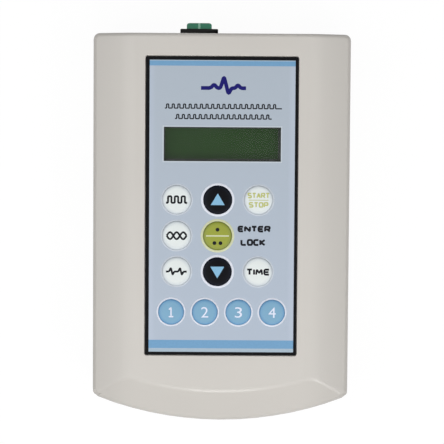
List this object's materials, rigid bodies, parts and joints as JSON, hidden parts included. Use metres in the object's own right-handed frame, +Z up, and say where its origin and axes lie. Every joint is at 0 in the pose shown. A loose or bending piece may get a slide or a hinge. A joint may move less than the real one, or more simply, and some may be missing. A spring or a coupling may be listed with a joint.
{
  "type": "tens unit",
  "caption": "Tabletop nerve and muscle stimulator: slim plastic case with bowed sloping front, membrane keypad, small display and rear rocker switch.",
  "frame": {"origin": "centre of the bounding box in plan, on the plane that the feet stand on", "axes": "+Z up through the keypad, +Y towards the rear connector panel and switch, +X to the right of someone facing the bowed front edge"},
  "size_m": [0.1152, 0.179, 0.0409],
  "materials": {
    "case_plastic": "fine-textured warm light grey moulded plastic",
    "rear_plate": "smooth warm light grey moulded plastic",
    "overlay_film": "satin polyester film printed pale blue-grey with a black border and light blue bands",
    "spacer_film": "white adhesive film",
    "circuit_film": "amber polyimide film",
    "clear_window": "clear glossy acrylic",
    "display_glass": "dark olive-green liquid crystal glass, glossy",
    "key_white": "satin off-white embossed film key",
    "key_black": "glossy black embossed film key",
    "key_olive": "satin olive-yellow embossed film key",
    "key_blue": "satin mid-blue embossed film key",
    "contact_steel": "bright spring steel",
    "board_green": "green solder mask over fibreglass board",
    "switch_black": "black nylon, satin",
    "rocker_green": "glossy dark green translucent plastic",
    "jack_black": "black moulded plastic",
    "transformer_core": "dark ferrite core with taped winding",
    "cell_wrap": "plain dark grey cell wrap",
    "screw_steel": "zinc-plated steel",
    "foot_rubber": "black moulded rubber"
  },
  "bodies": {
    "case": {"top_cover": "case_plastic", "bottom_cover": "case_plastic", "rear_panel": "rear_plate", "graphic_overlay": "overlay_film", "keypad_spacer": "spacer_film", "keypad_circuit": "circuit_film", "display_lens": "clear_window", "dome_mode_1": "contact_steel", "dome_mode_2": "contact_steel", "dome_mode_3": "contact_steel", "dome_up": "contact_steel", "dome_enter": "contact_steel", "dome_down": "contact_steel", "dome_start_stop": "contact_steel", "dome_timer": "contact_steel", "dome_channel_1": "contact_steel", "dome_channel_2": "contact_steel", "dome_channel_3": "contact_steel", "dome_channel_4": "contact_steel", "display_glass": "display_glass", "display_board": "board_green", "power_switch_body": "switch_black", "main_board": "board_green", "channel_jack_1": "jack_black", "channel_jack_2": "jack_black", "channel_jack_3": "jack_black", "channel_jack_4": "jack_black", "power_jack": "jack_black", "output_transformer_1": "transformer_core", "output_transformer_2": "transformer_core", "output_transformer_3": "transformer_core", "output_transformer_4": "transformer_core", "battery_cell_1": "cell_wrap", "battery_cell_2": "cell_wrap", "battery_cell_3": "cell_wrap", "battery_cell_4": "cell_wrap", "battery_contact_front": "contact_steel", "battery_contact_rear": "contact_steel", "case_screw_1": "screw_steel", "case_screw_2": "screw_steel", "case_screw_3": "screw_steel", "case_screw_4": "screw_steel", "foot_1": "foot_rubber", "foot_2": "foot_rubber", "foot_3": "foot_rubber", "foot_4": "foot_rubber"},
    "key_mode_1": {"key_mode_1": "key_white"},
    "key_mode_2": {"key_mode_2": "key_white"},
    "key_mode_3": {"key_mode_3": "key_white"},
    "key_up": {"key_up": "key_black"},
    "key_enter": {"key_enter": "key_olive"},
    "key_down": {"key_down": "key_black"},
    "key_start_stop": {"key_start_stop": "key_white"},
    "key_timer": {"key_timer": "key_white"},
    "key_channel_1": {"key_channel_1": "key_blue"},
    "key_channel_2": {"key_channel_2": "key_blue"},
    "key_channel_3": {"key_channel_3": "key_blue"},
    "key_channel_4": {"key_channel_4": "key_blue"},
    "rocker": {"power_switch_rocker": "rocker_green"},
    "door": {"battery_door": "case_plastic"}
  },
  "joints": [
    {"name": "press_mode_1", "type": "slide", "parent": "case", "child": "key_mode_1", "axis": [0, 0, -1], "range_m": [0, 0.0004], "stiffness_N_per_m": 2000},
    {"name": "press_mode_2", "type": "slide", "parent": "case", "child": "key_mode_2", "axis": [0, 0, -1], "range_m": [0, 0.0004], "stiffness_N_per_m": 2000},
    {"name": "press_mode_3", "type": "slide", "parent": "case", "child": "key_mode_3", "axis": [0, 0, -1], "range_m": [0, 0.0004], "stiffness_N_per_m": 2000},
    {"name": "press_up", "type": "slide", "parent": "case", "child": "key_up", "axis": [0, 0, -1], "range_m": [0, 0.0004], "stiffness_N_per_m": 2000},
    {"name": "press_enter", "type": "slide", "parent": "case", "child": "key_enter", "axis": [0, 0, -1], "range_m": [0, 0.0004], "stiffness_N_per_m": 2000},
    {"name": "press_down", "type": "slide", "parent": "case", "child": "key_down", "axis": [0, 0, -1], "range_m": [0, 0.0004], "stiffness_N_per_m": 2000},
    {"name": "press_start_stop", "type": "slide", "parent": "case", "child": "key_start_stop", "axis": [0, 0, -1], "range_m": [0, 0.0004], "stiffness_N_per_m": 2000},
    {"name": "press_timer", "type": "slide", "parent": "case", "child": "key_timer", "axis": [0, 0, -1], "range_m": [0, 0.0004], "stiffness_N_per_m": 2000},
    {"name": "press_channel_1", "type": "slide", "parent": "case", "child": "key_channel_1", "axis": [0, 0, -1], "range_m": [0, 0.0004], "stiffness_N_per_m": 2000},
    {"name": "press_channel_2", "type": "slide", "parent": "case", "child": "key_channel_2", "axis": [0, 0, -1], "range_m": [0, 0.0004], "stiffness_N_per_m": 2000},
    {"name": "press_channel_3", "type": "slide", "parent": "case", "child": "key_channel_3", "axis": [0, 0, -1], "range_m": [0, 0.0004], "stiffness_N_per_m": 2000},
    {"name": "press_channel_4", "type": "slide", "parent": "case", "child": "key_channel_4", "axis": [0, 0, -1], "range_m": [0, 0.0004], "stiffness_N_per_m": 2000},
    {"name": "rock_power_switch", "type": "hinge", "parent": "case", "child": "rocker", "pos_m": [-0.0104, 0.08528, 0.01975], "axis": [1, 0, 0], "range_deg": [0, 20]},
    {"name": "slide_battery_door", "type": "slide", "parent": "case", "child": "door", "axis": [0, 1, 0], "range_m": [0, 0.006]}
  ]
}
